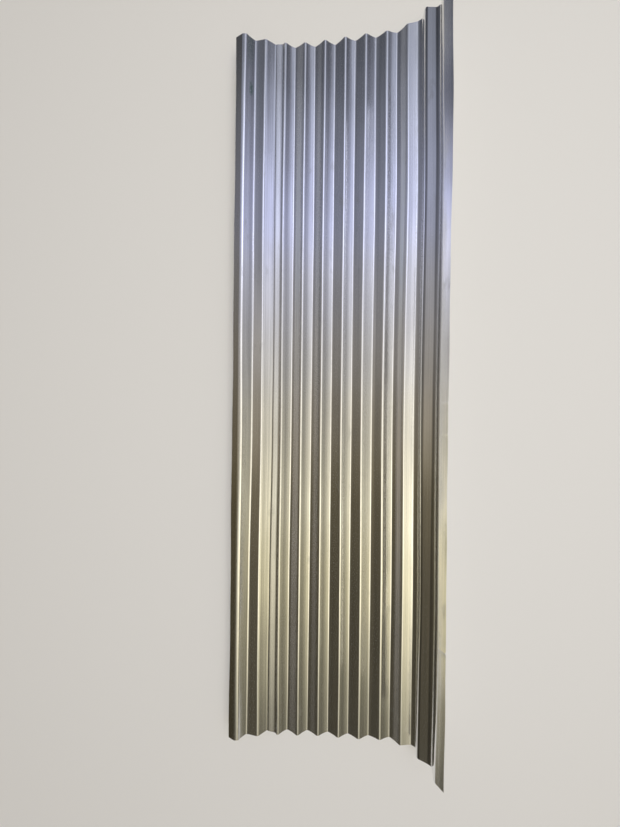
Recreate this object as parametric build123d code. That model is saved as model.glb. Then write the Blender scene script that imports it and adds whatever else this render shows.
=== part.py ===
from build123d import *
import math
import os

# ---------------------------------------------------------------------------
# Corrugated metal sheet: one sheet of bare metal, roll-formed to a narrow
# rounded trapezoidal wave.  It lies flat on a level floor on the valleys of
# its middle waves, and both long edges have sprung up.
#
# Row frame: X across the waves, Y along the sheet, Z up.
# Origin: the middle of the bounding box, on the floor.
# All sizes are in millimetres.
# ---------------------------------------------------------------------------

length = 2440.0          # along the waves: stock length of 8 ft
thickness = 0.4          # bare metal
wave_height = 18.0       # mid-surface of the valley to mid-surface of the crest
flank_run = 30.0         # horizontal run of one flank, between sharp corners
flat_run = 5.4           # crest or valley flat, between sharp corners
bend_radius = 7.0        # mid-surface radius of each rolled bend

# The turn of the section, in degrees, at each crest and valley from the left
# edge to the right edge.  0 is flat on the floor, plus lifts the right side.
#         C1     V1     C2     V2     C3    V3    C4    V4   C5   V5   C6
turn = [-14.8, -16.6, -16.7, -13.8, -9.0, -5.0, -1.7, 0.0, 0.0, 0.0, 0.0,
        #   V6   C7   V7   C8   V8   C9    V9    C10   V10   C11
            0.0, 0.0, 0.0, 1.4, 4.9, 13.7, 32.8, 48.9, 60.5, 72.0]
edge_turn_left = -12.5   # turn of the first flank
edge_turn_right = 82.0   # turn of the last flank
edge_run_left = 0.86     # first flank: part of a full flank left by the coil edge
edge_run_right = 0.91    # last flank: part of a full flank left by the coil edge

flank_angle = math.degrees(math.atan2(wave_height, flank_run))
flank_length = math.hypot(wave_height, flank_run)

# Straight pieces of the mid-surface between sharp corners: (length, direction)
pieces = [(flank_length * edge_run_left, flank_angle + edge_turn_left)]
for i, t in enumerate(turn):
    pieces.append((flat_run, t))
    if i + 1 < len(turn):
        mean = (t + turn[i + 1]) / 2
        slope = -flank_angle if i % 2 == 0 else flank_angle
        pieces.append((flank_length, slope + mean))
pieces.append((flank_length * edge_run_right, -flank_angle + edge_turn_right))

corners = [(0.0, 0.0)]
for run, angle in pieces:
    x, z = corners[-1]
    corners.append((x + run * math.cos(math.radians(angle)),
                    z + run * math.sin(math.radians(angle))))


def side(offset):
    """One face of the sheet, offset from the mid-surface: the sharp corners
    rounded by arcs that share their centres with the mid-surface bends."""
    out = []
    start = None
    for i, (run, angle) in enumerate(pieces):
        a = math.radians(angle)
        ux, uz = math.cos(a), math.sin(a)
        nx, nz = -uz, ux
        x0, z0 = corners[i]
        x1, z1 = corners[i + 1]
        if start is None:
            start = (x0 + nx * offset, z0 + nz * offset)
        if i + 1 == len(pieces):
            out.append(("line", start, (x1 + nx * offset, z1 + nz * offset)))
            break
        b = math.radians(pieces[i + 1][1])
        bend = b - a
        cut = bend_radius * math.tan(abs(bend) / 2)
        tx, tz = x1 - ux * cut, z1 - uz * cut
        hand = 1.0 if bend > 0 else -1.0
        cx, cz = tx + nx * hand * bend_radius, tz + nz * hand * bend_radius
        r = bend_radius - hand * offset
        end = (tx + nx * offset, tz + nz * offset)
        out.append(("line", start, end))
        m = a + bend / 2
        mid = (cx + math.sin(m) * hand * r, cz - math.cos(m) * hand * r)
        stop = (cx + math.sin(b) * hand * r, cz - math.cos(b) * hand * r)
        out.append(("arc", end, mid, stop))
        start = stop
    return out


lower = side(-thickness / 2)
upper = side(thickness / 2)

# Put the section on the floor and centre it
xs, zs = [], []
for seg in lower + upper:
    for p in seg[1:]:
        xs.append(p[0])
        zs.append(p[1])
x_mid = (min(xs) + max(xs)) / 2
# the lowest straight valley of the flat middle is the rest face
z_low = min(p[1] for seg in lower if seg[0] == "line" for p in seg[1:])


def at(p):
    return (p[0] - x_mid, -length / 2, p[1] - z_low)


edges = []
for seg in lower:
    if seg[0] == "line":
        edges.append(Edge.make_line(at(seg[1]), at(seg[2])))
    else:
        edges.append(Edge.make_three_point_arc(at(seg[1]), at(seg[2]), at(seg[3])))
edges.append(Edge.make_line(at(lower[-1][2]), at(upper[-1][2])))
for seg in reversed(upper):
    if seg[0] == "line":
        edges.append(Edge.make_line(at(seg[2]), at(seg[1])))
    else:
        edges.append(Edge.make_three_point_arc(at(seg[3]), at(seg[2]), at(seg[1])))
edges.append(Edge.make_line(at(upper[0][1]), at(lower[0][1])))

outline = Wire(edges)
section = Face(outline)
sheet = extrude(section, amount=length, dir=(0, 1, 0))
sheet = Solid(sheet.solid().wrapped)
sheet.label = "corrugated_sheet"

os.makedirs("parts", exist_ok=True)
export_step(sheet, "parts/corrugated_sheet.step")

developed = sum(run for run, _ in pieces)
bb = sheet.bounding_box()
print("flank angle %.2f deg, flank %.2f mm, wave pitch %.2f mm"
      % (flank_angle, flank_length, 2 * (flank_run + flat_run)))
print("developed width about %.1f mm" % developed)
print("size %.2f x %.2f x %.2f mm, lowest %.3f" % (bb.size.X, bb.size.Y, bb.size.Z, bb.min.Z))
print("volume %.1f mm3, valid %s" % (sheet.volume, sheet.is_valid))
for i in range(1, len(corners) - 1, 2):
    k = (i - 1) // 2
    name = ("C%d" if k % 2 == 0 else "V%d") % (k // 2 + 1)
    print(name, "flat from (%.2f, %.2f) to (%.2f, %.2f)" % (
        corners[i][0] - x_mid, corners[i][1] - z_low,
        corners[i + 1][0] - x_mid, corners[i + 1][1] - z_low))
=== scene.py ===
import math

import bpy
import numpy as np
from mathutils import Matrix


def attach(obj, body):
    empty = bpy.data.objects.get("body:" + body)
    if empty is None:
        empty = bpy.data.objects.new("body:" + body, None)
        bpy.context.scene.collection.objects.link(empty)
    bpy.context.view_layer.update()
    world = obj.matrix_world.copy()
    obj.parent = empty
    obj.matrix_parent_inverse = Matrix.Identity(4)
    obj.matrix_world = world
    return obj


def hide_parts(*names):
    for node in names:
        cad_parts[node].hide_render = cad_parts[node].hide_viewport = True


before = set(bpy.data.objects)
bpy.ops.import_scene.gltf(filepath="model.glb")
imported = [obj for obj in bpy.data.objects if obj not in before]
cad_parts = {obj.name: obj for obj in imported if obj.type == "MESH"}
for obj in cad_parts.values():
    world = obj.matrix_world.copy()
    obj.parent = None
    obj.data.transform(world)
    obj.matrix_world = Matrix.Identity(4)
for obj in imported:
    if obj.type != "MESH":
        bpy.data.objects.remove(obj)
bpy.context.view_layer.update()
link_in = bpy.context.scene.collection.objects.link

# ---------------------------------------------------------------------------
# Camera: it looks down on the sheet from about 1.1 m up, at the photograph's
# angle.  310.5 px of focal length in a picture 827 px high.
# ---------------------------------------------------------------------------

cam_data = bpy.data.cameras.new("camera")
cam_data.sensor_fit = "AUTO"
cam_data.sensor_width = 36.0
cam_data.lens = 310.5 / 827.0 * 36.0
cam_data.clip_start = 0.05
cam_data.clip_end = 200.0
cam = bpy.data.objects.new("camera", cam_data)
cam.location = (0.024713, -0.092898, 1.103252)
cam.rotation_euler = (math.radians(0.0436), math.radians(5.48417), math.radians(0.64157))
link_in(cam)
bpy.context.scene.camera = cam

# ---------------------------------------------------------------------------
# The section, in metres: straight pieces joined by rolled bends.  Crests and
# valleys are counted from the left edge: L0, C1, R1, V1, L1, C2 ... C11, R11.
# ---------------------------------------------------------------------------

LENGTH = 2.440
THICK = 0.0004
WAVE_HEIGHT = 0.018
FLANK_RUN = 0.030
FLAT_RUN = 0.0054
BEND = 0.0094            # a crest reads as nearly one arc
TURN = [-14.8, -16.6, -16.7, -13.8, -9.0, -5.0, -1.7, 0.0, 0.0, 0.0, 0.0,
        0.0, 0.0, 0.0, 1.4, 4.9, 13.7, 32.8, 48.9, 60.5, 72.0]
EDGE_TURN = (-12.5, 82.0)
EDGE_RUN = (0.86, 0.91)

flank_angle = math.degrees(math.atan2(WAVE_HEIGHT, FLANK_RUN))
flank_length = math.hypot(WAVE_HEIGHT, FLANK_RUN)

pieces = [(flank_length * EDGE_RUN[0], flank_angle + EDGE_TURN[0])]
for i, t in enumerate(TURN):
    pieces.append((FLAT_RUN, t))
    if i + 1 < len(TURN):
        mean = (t + TURN[i + 1]) / 2
        pieces.append((flank_length, (-flank_angle if i % 2 == 0 else flank_angle) + mean))
pieces.append((flank_length * EDGE_RUN[1], -flank_angle + EDGE_TURN[1]))

PIECE_NAMES = ["L0"]
for i in range(len(TURN)):
    PIECE_NAMES.append(("C%d" if i % 2 == 0 else "V%d") % (i // 2 + 1))
    PIECE_NAMES.append(("R%d" if i % 2 == 0 else "L%d") % (i // 2 + 1))

ARC_STEPS = 4
FLANK_STEPS = (0.0, 0.07, 0.36, 0.64, 0.93, 1.0)
# the widened second valley and the flattened flank to its right have steps of their own
FINE_STEPS = (0.0, 0.15, 0.30, 0.45, 0.64, 0.74, 0.84, 0.92, 1.0)
CREASE_STEPS = (0.0, 0.10, 0.35, 0.60, 0.72, 0.85, 1.0)
DOUBLE_STEPS = (0.0, 0.07, 0.36, 0.64, 0.70, 0.80, 0.94, 1.0)


def corner(name, side):
    """Number of the sharp corner at the left or right end of a crest or valley."""
    k = 1 + 4 * (int(name[1:]) - 1) + (0 if name[0] == "C" else 2)
    return k + (side == "r")


def section():
    """One row per point of the mid-surface: x, z, normal x, normal z, developed
    distance from the left edge, the number of the piece, the share along it
    from corner to corner, and the share along the straight part (-1 in a bend)."""
    corners = [np.zeros(2)]
    for run, angle in pieces:
        a = math.radians(angle)
        corners.append(corners[-1] + run * np.array([math.cos(a), math.sin(a)]))
    out = []
    s = 0.0
    start = corners[0]
    for i, (run, angle) in enumerate(pieces):
        a = math.radians(angle)
        u = np.array([math.cos(a), math.sin(a)])
        n = np.array([-u[1], u[0]])
        last = i + 1 == len(pieces)
        end = corners[i + 1]
        if not last:
            b = math.radians(pieces[i + 1][1])
            bend = b - a
            reach = min(BEND * math.tan(abs(bend) / 2), FLAT_RUN * 0.495)
            if "V2" in PIECE_NAMES[i:i + 2]:
                reach = FLAT_RUN * 0.12
            radius = reach / math.tan(abs(bend) / 2)
            end = end - u * reach
        straight = float(np.linalg.norm(end - start))
        steps = FLANK_STEPS if i % 2 == 0 else (0.0, 1.0)
        if PIECE_NAMES[i] == "R2":
            steps = DOUBLE_STEPS
        if PIECE_NAMES[i] == "L2":
            steps = FINE_STEPS
        if PIECE_NAMES[i] == "V2":
            steps = CREASE_STEPS
        for k in steps:
            if out and k == 0.0:
                continue
            p = start + (end - start) * k
            share = float(np.dot(p - corners[i], u)) / run
            out.append((p[0], p[1], n[0], n[1], s + straight * k, i, share, k))
        s += straight
        if last:
            break
        hand = 1.0 if bend > 0 else -1.0
        centre = end + n * hand * radius
        for j in range(1, ARC_STEPS + 1):
            m = a + bend * j / ARC_STEPS
            nm = np.array([-math.sin(m), math.cos(m)])
            p = centre - nm * hand * radius
            s_here = s + radius * abs(bend) * j / ARC_STEPS
            if j <= ARC_STEPS // 2:
                share = float(np.dot(p - corners[i], u)) / run
                out.append((p[0], p[1], nm[0], nm[1], s_here, i, min(share, 1.0), -1.0))
            else:
                v = np.array([math.cos(b), math.sin(b)])
                share = float(np.dot(p - corners[i + 1], v)) / pieces[i + 1][0]
                out.append((p[0], p[1], nm[0], nm[1], s_here, i + 1, max(share, 0.0), -1.0))
        start = np.array(out[-1][:2])
        s += radius * abs(bend)
    return np.array(out)


sec = section()
half = THICK / 2
edge_x = np.concatenate([sec[:, 0] + sec[:, 2] * half, sec[:, 0] - sec[:, 2] * half])
sec[:, 0] -= (edge_x.min() + edge_x.max()) / 2
sec[:, 1] -= (sec[:, 1] - sec[:, 3] * half).min()
WIDTH = float(sec[-1, 4])      # developed width

# rows along the sheet, closer together near the two cut ends and at the nicks
NICKS = (-0.0575, -0.150, -0.806)
rows = [0.0, 0.0008, 0.004, 0.010, 0.018, 0.030, 0.045]
rows = list(np.array(rows) - LENGTH / 2) + list(np.linspace(-LENGTH / 2 + 0.060, LENGTH / 2 - 0.060, 112)) \
    + list(LENGTH / 2 - np.array(rows))
for c in NICKS:
    rows += [c - 0.006, c - 0.003, c, c + 0.003, c + 0.006]
rows = np.array(sorted(rows))


# ---------------------------------------------------------------------------
# How the real sheet differs from a straight rolled section: its folds wander
# a few millimetres along the sheet, some waves are pressed flatter, and the
# ends are not cut square.  Tables in millimetres at the stations KNOTS.
# ---------------------------------------------------------------------------

KNOTS = (-1.22, -1.00, -0.69, -0.15, 0.20, 0.65, 1.00, 1.22)
SIDEWAYS = {
    "C1l": (-6.5, -7.5, -7.5, -5.0, -5.5, -5.0, -4.5, -3.5),
    "C1r": (0.5, -0.5, 0.0, 3.0, 0.0, 0.0, 1.5, 3.5),
    "V1": (-3.3, -2.4, -1.5, 3.6, 3.4, 1.5, 2.6, 3.6),
    "C2": (-1.0, -2.2, -2.2, 1.0, 0.4, -0.8, 0.4, 1.8),
    "V2l": (2.0, 1.8, 2.8, 7.0, 7.5, 6.3, 6.6, 7.4),
    "V2r": (2.5, 2.7, 3.4, 7.5, 8.0, 6.8, 7.1, 7.9),
    "C3l": (1.5, 0.1, -0.3, 1.7, 0.8, 0.1, 1.0, 1.0),
    "C3r": (0.0, -1.4, -1.8, 0.2, -0.7, -1.4, 0.0, 0.0),
    "V3": (-2.8, -1.8, -2.2, 0.0, 0.0, 0.0, 0.0, 0.0),
    "C4": (-0.4, -1.2, -1.0, -0.7, -0.7, -0.4, 0.0, 0.0),
    "V4": (-2.0, -1.4, -0.7, -0.3, 0.3, 1.0, 0.0, -0.3),
    "C5": (0.4, 0.0, -0.2, -1.0, -1.0, -0.9, 0.0, 0.0),
    "C6": (0.8, 1.4, 0.6, -1.4, -1.0, 0.0, -0.3, -0.5),
    "C7": (0.3, 0.6, 0.4, -1.6, -2.2, -1.6, -0.3, -0.6),
    "C8": (1.2, 0.8, 0.3, -0.8, -0.4, -0.8, 0.0, 0.2),
    "V9l": (0.0, 0.0, 0.0, 0.0, 0.0, -2.0, -3.0, -3.0),
    "V9r": (9.0, 9.0, 9.0, 9.0, 9.0, 8.0, 6.0, 5.0),
    "C10l": (-7.0, -6.0, -4.4, -5.3, -5.8, -6.8, -6.5, -6.5),
    "C10r": (-6.0, -5.0, -3.8, -3.8, -4.3, -5.3, -5.0, -5.0),
    "V10l": (-7.5, -6.5, -6.0, -3.2, -2.0, -4.8, -5.6, -7.2),
    "V10r": (-3.0, -1.0, 0.0, 0.0, 1.0, 1.0, 0.0, 0.0),
    "C11": (-2.0, 1.0, 1.0, 2.0, 2.5, -0.4, -1.6, -2.6),
    "edge": (1.2, 2.6, -0.8, 1.4, 1.2, -0.3, 1.2, 1.0),
}
UPWARD = {
    "C1": (0.0, 0.0, 0.0, 0.0, 0.0, -0.8, -0.8, -0.6),
    "C2": (-3.5, -4.0, -4.2, -4.2, -4.0, -3.8, -3.2, -3.0),
    "V2l": (3.1, 3.8, 3.8, 3.4, 3.3, 3.5, 3.3, 2.9),
    "V2r": (6.4, 7.1, 7.0, 6.7, 6.7, 6.7, 6.1, 5.1),
    "C3": (-2.0, -1.7, -1.6, -1.6, -1.6, -1.8, -2.8, -4.0),
    "C4": (0.0, 0.0, 0.0, 0.0, 0.0, 0.0, -1.0, -2.7),
    "C6": (-0.6, -0.8, -0.8, -0.8, -0.8, -0.8, -0.6, 0.0),
    "V6": (0.5, 0.9, 0.9, 0.9, 0.9, 0.9, 1.5, 3.0),
    "C7": (-1.1, -1.6, -1.8, -1.5, -1.3, -1.1, -0.7, 0.0),
    "V7": (1.6, 2.4, 2.6, 2.2, 2.0, 2.0, 2.1, 2.5),
    "C8": (-0.9, -1.3, -1.3, -1.3, -1.3, -1.0, -1.1, -1.0),
    "V8": (1.4, 2.3, 2.5, 2.3, 2.3, 2.6, 2.9, 3.7),
    "V9l": (0.4, 0.4, 0.4, 0.4, 0.4, 0.4, 0.5, 0.5),
    "V9r": (5.0, 5.2, 5.4, 5.4, 5.4, 5.2, 4.5, 4.0),
    "C10r": (2.2, 2.2, 2.2, 2.2, 2.2, 2.2, 2.2, 2.2),
    "V10l": (-0.7, 0.3, 0.3, 0.4, 1.2, -0.1, -0.7, -1.6),
    "edge": (0.0, 0.0, 0.0, 0.0, 0.0, 1.8, 2.4, 2.4),
}
# lengthwise shift of the far end and of the near end at each fold
FAR_END = {"C1": -5, "V1": -2.1, "C2": -6.2, "V2": -5.5, "C3": -5, "V3": -5, "C4": -5, "V4": -5.5, "C5": -6,
           "V5": -5.5, "C6": -2.5, "V6": -2, "C7": 1.5, "V7": 2, "C8": 4, "V8": 7, "C9": 10.5, "V9": 19,
           "C10": 12, "V10": -6, "C11": 0}
NEAR_END = {"C1": -4, "V1": -6, "C2": -5, "V2": -0.5, "C3": -7.5, "V3": -6, "C4": -7, "V4": -3, "C5": -1,
            "V5": -1, "C6": 0, "V6": 1, "C7": 2, "V7": 4, "C8": 8, "V8": 8, "C9": 6.5, "V9": 9,
            "C10": 8, "V10": 6, "C11": 2}
# how far the middle of each flank sags below its chord, in millimetres
SAG = {"L0": 0.2, "R1": 0.7, "L1": 0.25, "R2": 0.4, "L2": 0.0, "R7": 0.4, "R8": 0.7, "R9": 0.3, "L9": 0.0, "R10": 0.3,
       "L10": 0.0, "R11": -0.15}
SAG_DEFAULT = {"R": 1.05, "L": 0.9}
# height over the chord, in millimetres, at shares of the straight part: a sharp
# double crease along the second valley, and the flank to its right nearly level at first
PROFILE = {
    "R2": ((0.0, 0.0), (0.70, 0.0), (0.80, -0.20), (0.94, -0.20), (1.0, 0.0)),
    "V2": ((0.0, 0.0), (0.10, 0.06), (0.35, 0.27), (0.60, 0.49), (0.72, 0.56), (0.85, 0.36), (1.0, 0.0)),
    "L2": ((0.0, 0.0), (0.15, -0.80), (0.30, -1.60), (0.45, -2.37), (0.64, -3.32), (0.74, -3.45), (0.84, -2.70),
           (0.92, -1.45), (1.0, 0.0)),
}


def smooth(x, a, b):
    t = np.clip((x - a) / (b - a), 0, 1)
    return t * t * (3 - 2 * t)


def bump(x, centre, width):
    return np.exp(-((x - centre) / width) ** 2)


def curve(table, y):
    """Smooth curve through the values of one table row, in metres."""
    out = np.zeros_like(y)
    for k in range(len(KNOTS) - 1):
        a, b = KNOTS[k], KNOTS[k + 1]
        inside = (y >= a) & (y <= b) if k else y <= b
        if k == len(KNOTS) - 2:
            inside = y >= a
        out[inside] = (table[k] + (table[k + 1] - table[k]) * smooth(y, a, b))[inside]
    return out / 1000


def fold_shifts(y):
    """(dx, dz) of each sharp corner at each y, in metres."""
    n = len(pieces) + 1
    dx = np.zeros((n, len(y)))
    dz = np.zeros((n, len(y)))
    for table, out in ((SIDEWAYS, dx), (UPWARD, dz)):
        for name, row in table.items():
            if name == "edge":
                out[-1] += curve(row, y)
                continue
            fold, sides = (name[:-1], name[-1]) if name[-1] in "lr" else (name, "lr")
            for side in sides:
                out[corner(fold, side)] += curve(row, y)
    # the right side bows out at two thirds of its length
    bow = 0.0042 * bump(y, 0.66, 0.30) - 0.0016 * bump(y, -0.09, 0.28) + 0.0012 * bump(y, -0.74, 0.22)
    for fold, w in (("C7", 0.3), ("V7", 0.5), ("C8", 0.7), ("V8", 0.9), ("C9", 1), ("V9", 1),
                    ("C10", 1), ("V10", 1), ("C11", 1)):
        for side in "lr":
            dx[corner(fold, side)] += bow * w
    dx[-1] += bow - 0.0016 - 0.0030 * bump(y, -1.25, 0.35) - 0.0015 * bump(y, 1.25, 0.2)
    # free edges are a little wavy
    dx[-1] += 0.0007 * np.sin(y * 9.1 + 0.7) + 0.0004 * np.sin(y * 23.0)
    dz[-1] += -0.0020 + 0.0008 * np.sin(y * 6.3 + 2.0)
    dx[0] += 0.0008 * np.sin(y * 7.7 + 1.1) + 0.0004 * np.sin(y * 19.0 + 0.4)
    dz[0] += 0.0006 * np.sin(y * 8.9)
    for c, deep in zip(NICKS, (0.0011, 0.0009, 0.0013)):
        dx[-1] -= deep * bump(y, c, 0.0035)
        dz[-1] -= deep * 0.6 * bump(y, c, 0.0035)
    # two small knocks on folds
    for fold, side, c in (("C3", "r", 0.540), ("V1", "l", 0.515)):
        dz[corner(fold, side)] -= 0.0009 * bump(y, c, 0.008)
    return dx, dz


def end_shift(table):
    """Lengthwise shift of one end at every sharp corner."""
    at, value = [0.0], [table["C1"]]
    for fold, v in table.items():
        for side in "lr":
            at.append(corner(fold, side))
            value.append(v)
    at.append(len(pieces))
    value.append(table["C11"])
    return np.interp(np.arange(len(pieces) + 1), at, value) / 1000


def build_points():
    nu, nv = len(sec), len(rows)
    y = np.repeat(rows[None, :], nu, 0)
    dx, dz = fold_shifts(rows)
    piece = sec[:, 5].astype(int)
    share = np.clip(sec[:, 6], 0, 1)[:, None]
    x = sec[:, 0][:, None] + dx[piece] * (1 - share) + dx[piece + 1] * share
    z = sec[:, 1][:, None] + dz[piece] * (1 - share) + dz[piece + 1] * share
    nx, nz = sec[:, 2][:, None], sec[:, 3][:, None]
    k = np.where((sec[:, 5] % 2 == 0) & (sec[:, 7] >= 0), sec[:, 7], 0.0)
    deep = np.array([SAG.get(PIECE_NAMES[i], SAG_DEFAULT.get(PIECE_NAMES[i][0], 0.0)) for i in piece]) / 1000
    sag = -deep * 4 * k * (1 - k)
    for name, table in PROFILE.items():
        own = (piece == PIECE_NAMES.index(name)) & (sec[:, 7] >= 0)
        sag = sag + own * np.interp(sec[:, 7], *zip(*table)) / 1000
    sag = sag[:, None]
    x = x + nx * sag
    z = z + nz * sag
    far, near = end_shift(FAR_END), end_shift(NEAR_END)
    far = (far[piece] * (1 - share[:, 0]) + far[piece + 1] * share[:, 0])[:, None]
    near = (near[piece] * (1 - share[:, 0]) + near[piece + 1] * share[:, 0])[:, None]
    y = y + far * smooth(y, 0.3, 1.22) + near * smooth(-y, 0.3, 1.22)
    return x, y, z, nx, nz


def sheet_mesh():
    nu, nv = len(sec), len(rows)
    x, y, z, nx, nz = build_points()
    top = np.stack([x + nx * half, y, z + nz * half], -1).reshape(-1, 3)
    bot = np.stack([x - nx * half, y, z - nz * half], -1).reshape(-1, 3)
    co = np.concatenate([top, bot])
    base = nu * nv
    i, j = np.meshgrid(np.arange(nu - 1), np.arange(nv - 1), indexing="ij")
    i, j = i.ravel(), j.ravel()

    def vert(a, b):
        return a * nv + b

    S, V = sec[:, 4], rows
    faces = [np.stack([vert(i, j), vert(i + 1, j), vert(i + 1, j + 1), vert(i, j + 1)], -1),
             base + np.stack([vert(i, j), vert(i, j + 1), vert(i + 1, j + 1), vert(i + 1, j)], -1)]
    flat = [np.stack([np.stack([S[i], V[j]], -1), np.stack([S[i + 1], V[j]], -1),
                      np.stack([S[i + 1], V[j + 1]], -1), np.stack([S[i], V[j + 1]], -1)], 1),
            np.stack([np.stack([S[i] + 1.0, V[j]], -1), np.stack([S[i] + 1.0, V[j + 1]], -1),
                      np.stack([S[i + 1] + 1.0, V[j + 1]], -1), np.stack([S[i + 1] + 1.0, V[j]], -1)], 1)]
    a = np.arange(nu - 1)
    for row, hand in ((0, 1), (nv - 1, -1)):
        q = np.stack([vert(a, row), base + vert(a, row), base + vert(a + 1, row), vert(a + 1, row)], -1)
        w = np.stack([np.stack([S[a], V[row] + 0 * S[a]], -1), np.stack([S[a], V[row] - hand * THICK + 0 * S[a]], -1),
                      np.stack([S[a + 1], V[row] - hand * THICK + 0 * S[a]], -1), np.stack([S[a + 1], V[row] + 0 * S[a]], -1)], 1)
        faces.append(q[:, ::hand])
        flat.append(w[:, ::hand])
    b = np.arange(nv - 1)
    for col, hand in ((nu - 1, 1), (0, -1)):
        q = np.stack([vert(col, b), base + vert(col, b), base + vert(col, b + 1), vert(col, b + 1)], -1)
        w = np.stack([np.stack([S[col] + 0 * V[b], V[b]], -1), np.stack([S[col] + hand * THICK + 0 * V[b], V[b]], -1),
                      np.stack([S[col] + hand * THICK + 0 * V[b], V[b + 1]], -1), np.stack([S[col] + 0 * V[b], V[b + 1]], -1)], 1)
        faces.append(q[:, ::hand])
        flat.append(w[:, ::hand])
    faces = np.concatenate(faces)
    flat = np.concatenate(flat)
    me = bpy.data.meshes.new("sheet_skin")
    me.from_pydata(co, [], faces)
    layer = me.uv_layers.new(name="flat")
    layer.data.foreach_set("uv", flat.reshape(-1).astype(np.float32))
    me.update()
    me.shade_smooth()
    me.set_sharp_from_angle(angle=math.radians(50))
    return me


sheet = bpy.data.objects.new("sheet_skin", sheet_mesh())
link_in(sheet)

# ---------------------------------------------------------------------------
# Metal
# ---------------------------------------------------------------------------


class Nodes:
    """Short hands for one node tree."""

    def __init__(self, tree):
        self.tree = tree
        tree.nodes.clear()

    def new(self, kind, **settings):
        n = self.tree.nodes.new(kind)
        for k, v in settings.items():
            setattr(n, k, v)
        return n

    def put(self, socket, value):
        if isinstance(value, bpy.types.NodeSocket):
            self.tree.links.new(value, socket)
        elif value is not None:
            socket.default_value = value

    def math(self, op, *values, clamp=False):
        n = self.new("ShaderNodeMath", operation=op, use_clamp=clamp)
        for k, v in enumerate(values):
            self.put(n.inputs[k], v)
        return n.outputs[0]

    def ramp(self, fac, stops, interpolation="EASE"):
        n = self.new("ShaderNodeValToRGB")
        n.color_ramp.interpolation = interpolation
        el = n.color_ramp.elements
        while len(el) > 1:
            el.remove(el[-1])
        for k, (p, c) in enumerate(stops):
            c = (c, c, c, 1) if isinstance(c, (int, float)) else tuple(c) + (1,) * (4 - len(c))
            if k == 0:
                el[0].position, el[0].color = p, c
            else:
                e = el.new(p)
                e.color = c
        self.put(n.inputs[0], fac)
        return n.outputs[0]

    def scaled(self, vector, scale, move=(0, 0, 0)):
        n = self.new("ShaderNodeMapping")
        self.put(n.inputs["Vector"], vector)
        n.inputs["Scale"].default_value = scale
        n.inputs["Location"].default_value = move
        return n.outputs[0]

    def noise(self, vector, scale, detail=2.0, rough=0.5, distort=0.0):
        n = self.new("ShaderNodeTexNoise")
        self.put(n.inputs["Vector"], vector)
        n.inputs["Scale"].default_value = scale
        n.inputs["Detail"].default_value = detail
        n.inputs["Roughness"].default_value = rough
        n.inputs["Distortion"].default_value = distort
        return n.outputs["Fac"]

    def mix(self, fac, a, b, blend="MIX"):
        n = self.new("ShaderNodeMix", data_type="RGBA", blend_type=blend)
        self.put(n.inputs["Factor"], fac)
        self.put(n.inputs["A"], a)
        self.put(n.inputs["B"], b)
        return n.outputs["Result"]

    def add_up(self, *colours):
        total = colours[0]
        for c in colours[1:]:
            total = self.mix(1.0, total, c, "ADD")
        return total


def s_at(name, share=0.0):
    """Developed distance at a share along one piece."""
    own = sec[(sec[:, 5] == PIECE_NAMES.index(name)) & (sec[:, 7] >= 0)]
    return float(own[0, 4] + (own[-1, 4] - own[0, 4]) * share)


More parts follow.
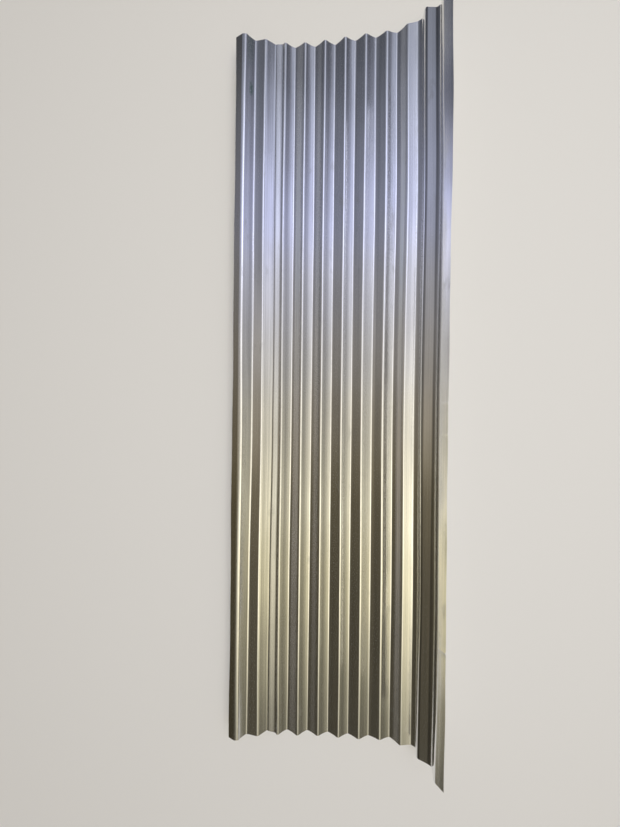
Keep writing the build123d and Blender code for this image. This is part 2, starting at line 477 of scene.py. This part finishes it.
def metal():
    mat = bpy.data.materials.new("bare_sheet")
    mat.use_nodes = True
    t = Nodes(mat.node_tree)
    out = t.new("ShaderNodeOutputMaterial")
    bsdf = t.new("ShaderNodeBsdfPrincipled")
    uv = t.new("ShaderNodeUVMap", uv_map="flat").outputs[0]
    sep = t.new("ShaderNodeSeparateXYZ")
    t.put(sep.inputs[0], uv)
    u, v = sep.outputs[0], sep.outputs[1]

    def band(value, lo, hi, soft):
        """1 between lo and hi, with soft edges."""
        up = t.new("ShaderNodeMapRange", interpolation_type="SMOOTHSTEP")
        t.put(up.inputs["Value"], value)
        up.inputs["From Min"].default_value = lo - soft
        up.inputs["From Max"].default_value = lo + soft
        down = t.new("ShaderNodeMapRange", interpolation_type="SMOOTHSTEP")
        t.put(down.inputs["Value"], value)
        down.inputs["From Min"].default_value = hi - soft
        down.inputs["From Max"].default_value = hi + soft
        return t.math("MULTIPLY", up.outputs[0], t.math("SUBTRACT", 1.0, down.outputs[0]))

    # rolling streaks: long along the sheet, narrow across it
    bands = t.noise(t.scaled(uv, (110.0, 0.40, 1.0)), 1.0, 2.0, 0.6)
    lines = t.noise(t.scaled(uv, (420.0, 1.6, 1.0), (3.1, 0, 0)), 1.0, 2.0, 0.6)
    grain = t.noise(t.scaled(uv, (1500.0, 22.0, 1.0), (7.7, 0, 0)), 1.0, 1.0, 0.5)
    cloud = t.noise(t.scaled(uv, (9.0, 4.0, 1.0), (1.3, 2.9, 0)), 1.0, 3.0, 0.55)
    wide = t.noise(t.scaled(uv, (14.0, 5.0, 1.0), (11.0, 5.2, 0)), 1.0, 1.0, 0.4)
    spots = t.noise(t.scaled(uv, (160.0, 120.0, 1.0), (2.0, 9.0, 0)), 1.0, 2.0, 0.5)

    colour = t.ramp(lines, [(0.30, (0.80, 0.805, 0.81)), (0.70, (0.91, 0.912, 0.915))])
    colour = t.mix(t.ramp(cloud, [(0.35, 0.0), (0.75, 0.35)]), colour, (0.80, 0.80, 0.79, 1), "MULTIPLY")
    # painted shade, brownish, on the outer left flank: it is darkened to stand in for the dark surroundings it
    # reflects
    painted_left_flank_shade = t.math("MULTIPLY", band(u, -0.01, s_at("L0", 1.0), 0.0012), 0.9)
    colour = t.mix(painted_left_flank_shade, colour, (0.70, 0.66, 0.57, 1), "MULTIPLY")
    # green stain rubbed on near the far left corner, broken up along the streaks
    r1 = s_at("R1")
    stain = t.math("MULTIPLY", band(u, r1 + 0.012, r1 + 0.026, 0.005), band(v, 1.024, 1.066, 0.012))
    stain = t.math("MULTIPLY", stain, t.ramp(spots, [(0.36, 0.0), (0.50, 1.0)]))
    haze = t.math("MULTIPLY", band(u, r1 + 0.001, r1 + 0.026, 0.006), band(v, 1.14, 1.24, 0.04))
    stain = t.math("MAXIMUM", stain, t.math("MULTIPLY", haze, 0.45))
    colour = t.mix(stain, colour, (0.46, 0.58, 0.50, 1), "MULTIPLY")
    # the lower part of two flanks is dull with dust, under a painted reflection tint, and painted shade lies along two
    # folds of the curl
    dust = t.math("MULTIPLY", band(u, s_at("L3", 0.05), s_at("L3", 0.90), 0.004), 0.55)
    dust = t.math("MAXIMUM", dust, t.math("MULTIPLY", band(u, s_at("L4", 0.15), s_at("L4", 0.75), 0.006), 0.36))
    dust = t.math("MAXIMUM", dust, t.math("MULTIPLY", band(u, s_at("L8", 0.30), s_at("L8", 0.95), 0.006), 0.80))
    dust = t.math("MULTIPLY", dust, t.ramp(lines, [(0.30, 0.75), (0.70, 1.0)]))
    lengthwise = t.math("MULTIPLY_ADD", v, 1 / LENGTH, 0.5)
    dust = t.math("MULTIPLY", dust, t.ramp(lengthwise, [(0.02, 0.32), (0.16, 0.46), (0.30, 0.74), (0.44, 0.86),
                                                       (0.70, 1.0), (0.82, 0.95), (0.90, 0.65), (0.97, 0.40)]))
    dust = t.math("MULTIPLY", dust, 1.28)
    # painted reflection colour: the dusty flanks are tinted warm towards the near end and cool, with blue raised,
    # towards the far end
    painted_reflection_tint = t.ramp(lengthwise, [(0.0, (1.0, 0.90, 0.74)), (0.40, (1.0, 0.91, 0.78)), (0.55, (0.97, 0.95, 0.93)),
                               (0.68, (0.92, 0.98, 1.12))])
    colour = t.mix(dust, colour, painted_reflection_tint, "MULTIPLY")
    # painted shade: two narrow dark bands along folds of the curl, darkening its inner facets that lie in shade
    painted_fold_shade = t.math("MULTIPLY", band(u, s_at("C10", 0.90), s_at("R10", 0.03), 0.0008), 0.85)
    painted_fold_shade = t.math("MAXIMUM", painted_fold_shade, t.math("MULTIPLY", band(u, s_at("R10", 0.93), s_at("V10", 0.55), 0.0020), 0.75))
    colour = t.mix(painted_fold_shade, colour, (0.42, 0.42, 0.42, 1), "MULTIPLY")
    # faint handling smudges
    smudge = t.ramp(t.noise(t.scaled(uv, (26.0, 11.0, 1.0), (4.4, 8.1, 0)), 1.0, 2.0, 0.6), [(0.60, 0.0), (0.74, 1.0)])
    colour = t.mix(t.math("MULTIPLY", smudge, 0.30), colour, (0.78, 0.78, 0.76, 1), "MULTIPLY")
    t.put(bsdf.inputs["Base Color"], colour)
    # dust takes a little of the mirror away
    t.put(bsdf.inputs["Metallic"], t.math("SUBTRACT", 1.0, t.math("MULTIPLY_ADD", dust, 0.50, 0.01)))
    bsdf.inputs["Specular IOR Level"].default_value = 0.5

    rough = t.math("MULTIPLY_ADD", bands, 0.08, 0.07)
    rough = t.math("MULTIPLY_ADD", grain, 0.03, rough)
    rough = t.math("MULTIPLY_ADD", cloud, 0.10, rough)
    rough = t.math("MULTIPLY_ADD", smudge, 0.07, rough)
    rough = t.math("MULTIPLY_ADD", stain, 0.06, rough)
    t.put(bsdf.inputs["Roughness"], rough)

    normal = None
    for height, distance in ((wide, 0.0006), (bands, 0.00014), (lines, 0.000020)):
        b = t.new("ShaderNodeBump")
        b.inputs["Strength"].default_value = 1.0
        b.inputs["Distance"].default_value = distance
        t.put(b.inputs["Height"], height)
        t.put(b.inputs["Normal"], normal)
        normal = b.outputs[0]
    t.put(bsdf.inputs["Normal"], normal)
    t.put(out.inputs[0], bsdf.outputs[0])
    return mat


sheet.data.materials.append(metal())

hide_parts("corrugated_sheet")
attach(sheet, "root")

# ---------------------------------------------------------------------------
# Floor and light
# ---------------------------------------------------------------------------

floor_mesh = bpy.data.meshes.new("floor")
F = 25.0
floor_mesh.from_pydata([(-F, -F, 0), (F, -F, 0), (F, F, 0), (-F, F, 0)], [], [(0, 1, 2, 3)])
floor = bpy.data.objects.new("floor", floor_mesh)
link_in(floor)
fmat = bpy.data.materials.new("floor")
fmat.use_nodes = True
fb = fmat.node_tree.nodes["Principled BSDF"]
fb.inputs["Base Color"].default_value = (0.80, 0.79, 0.77, 1)
fb.inputs["Roughness"].default_value = 0.8
fb.inputs["Specular IOR Level"].default_value = 0.2
floor_mesh.materials.append(fmat)


def studio():
    """A soft light tent round the floor.  Its panels run from end to end: a
    bright one to the right of overhead, dimmer ones overhead and to the left,
    and a pale one low on each side.  The far end is cool, the near end warm."""
    world = bpy.data.worlds.new("studio")
    world.use_nodes = True
    t = Nodes(world.node_tree)
    sep = t.new("ShaderNodeSeparateXYZ")
    t.put(sep.inputs[0], t.new("ShaderNodeTexCoord").outputs["Generated"])
    x, y, z = sep.outputs
    side = t.math("MULTIPLY_ADD", t.math("ARCTAN2", x, z), 1 / math.pi, 0.5, clamp=True)
    end = t.math("MULTIPLY_ADD", t.math("ARCSINE", y), 1 / math.pi, 0.5, clamp=True)

    def across(*stops):
        return t.ramp(side, [(d / 180 + 0.5, v) for d, v in stops])

    def along(*stops):
        return t.ramp(end, [(d / 180 + 0.5, v) for d, v in stops])

    # colour of the light from end to end: right of overhead, to the left, and of the
    # bright core; past the floor's own ends it fades to neutral
    plain = (1.00, 0.985, 0.95)
    right = along((-58, plain), (-46, (1.10, 0.995, 0.68)), (-28, (1.12, 1.00, 0.64)), (-14, (1.08, 0.99, 0.73)),
                  (0, (1.07, 0.99, 0.81)), (9, (1.03, 0.99, 0.95)), (22, (0.98, 0.98, 1.12)),
                  (32, (0.92, 0.97, 1.40)), (50, (0.92, 0.98, 1.22)), (60, plain))
    left = along((-58, plain), (-46, (1.16, 0.99, 0.64)), (-14, (1.20, 0.99, 0.60)), (0, (1.14, 0.99, 0.76)),
                 (10, (1.07, 0.99, 0.90)), (22, (1.00, 0.98, 1.05)), (32, (0.94, 0.99, 1.34)),
                 (50, (0.92, 0.99, 1.22)), (60, plain))
    white = along((-58, plain), (-45, (1.08, 1.00, 0.80)), (-14, (1.06, 0.995, 0.84)), (0, (1.04, 0.99, 0.88)),
                  (9, (1.02, 0.99, 0.97)), (22, (0.99, 0.985, 1.08)), (32, (0.94, 0.98, 1.25)),
                  (50, (0.95, 0.985, 1.12)), (60, plain))
    panels = [
        # the bright core, right of overhead
        (white, across((-15, 0), (-6, 0.38), (1, 0.5), (8, 1), (20, 1), (27, 0)),
         along((-58, 0.55), (-47, 0.22), (-41, 0.38), (-36, 0.62), (-29, 0.82), (-18, 0.91), (-3, 0.76), (18, 0.68), (31, 1.25),
               (40, 0.85), (49, 0.18))),
        # the wide bright panel
        (right, across((-17, 0), (-6, 0.34), (1, 0.6), (8, 1), (43, 1), (52, 0)),
         along((-58, 0.50), (-47, 0.24), (-41, 0.40), (-36, 0.62), (-29, 0.80), (-18, 0.91), (-3, 0.73), (18, 0.58), (31, 0.53),
               (43, 0.49), (49, 0.36))),
        # right, low
        (right, across((40, 0), (46, 0.55), (52, 1.2), (57, 1.0), (62, 0.73), (66, 0.62), (69, 0.90), (71, 1.10),
                       (74, 1.05), (78, 0.90), (84, 1.1), (90, 1.2)),
         along((-58, 0.28), (-47, 0.12), (-41, 0.176), (-36, 0.24), (-31, 0.31), (-25, 0.38), (-17, 0.48), (-3, 0.39), (12, 0.385),
               (25, 0.48), (32, 0.49), (41, 0.29), (49, 0.10))),
        (right, across((40, 0), (45, 1), (50, 1), (54, 0)),
         along((9, 0), (25, 0.15), (36, 0.16), (43, 0.10), (49, 0.06))),
        # overhead and left, four strips side by side
        (left, across((-84, 0.1), (-78, 0.35), (-72, 0.9), (-66, 1.1), (-58, 1.0), (-46, 1.0), (-38, 0.0)),
         along((-58, 0.13), (-47, 0.045), (-36, 0.055), (-18, 0.080), (-3, 0.145), (12, 0.21), (30, 0.245), (41, 0.185), (49, 0.085))),
        (left, across((-44, 0), (-37, 1), (-31, 1), (-26, 0)),
         along((-58, 0.18), (-47, 0.06), (-36, 0.07), (-28, 0.08), (-16, 0.13), (-3, 0.24), (15, 0.37), (26, 0.26), (34, 0.22),
               (41, 0.165), (49, 0.11))),
        (left, across((-31, 0), (-26, 1), (-18, 1), (-12, 0)),
         along((-58, 0.18), (-47, 0.055), (-36, 0.065), (-28, 0.07), (-16, 0.10), (-3, 0.30), (15, 0.31), (26, 0.37), (34, 0.41),
               (41, 0.34), (49, 0.24))),
        (left, across((-20, 0), (-12, 0.35), (-4, 0.4), (5, 0)),
         along((-58, 0.12), (-47, 0.04), (-18, 0.07), (-3, 0.18), (12, 0.25), (31, 0.29), (41, 0.17), (49, 0.09))),
        # left, at the horizon
        (right, across((-90, 1.2), (-87, 1.15), (-84, 1.0), (-78, 0.0)),
         along((-58, 0.30), (-47, 0.12), (-41, 0.23), (-31, 0.64), (-16, 0.80), (-3, 0.46), (15, 0.52), (26, 0.76), (34, 0.66),
               (38, 0.32), (41, 0.155), (49, 0.15))),
    ]
    glow = t.add_up(*[t.mix(1.0, c, t.mix(1.0, a, b, "MULTIPLY"), "MULTIPLY") for c, a, b in panels])
    ends = along((-78, 1), (-62, 0), (64, 0), (80, 1))
    glow = t.mix(ends, glow, (0.50, 0.50, 0.50, 1))
    # what is seen past the floor itself is a plain pale backdrop
    glow = t.mix(t.new("ShaderNodeLightPath").outputs["Is Camera Ray"], glow, (0.40, 0.39, 0.37, 1))
    bg = t.new("ShaderNodeBackground")
    t.put(bg.inputs["Color"], glow)
    t.put(t.new("ShaderNodeOutputWorld").inputs[0], bg.outputs[0])
    bpy.context.scene.world = world


studio()

lamp_data = bpy.data.lights.new("overhead", "AREA")
lamp_data.shape = "RECTANGLE"
lamp_data.size, lamp_data.size_y = 3.0, 4.0
lamp_data.energy = 60.0
lamp = bpy.data.objects.new("overhead", lamp_data)
lamp.location = (0.9, 0.4, 3.6)
lamp.rotation_euler = (math.radians(-6), math.radians(14), 0)
lamp.visible_glossy = False
lamp.visible_camera = False
link_in(lamp)

bpy.context.scene.view_settings.view_transform = "Standard"
bpy.context.scene.view_settings.look = "None"
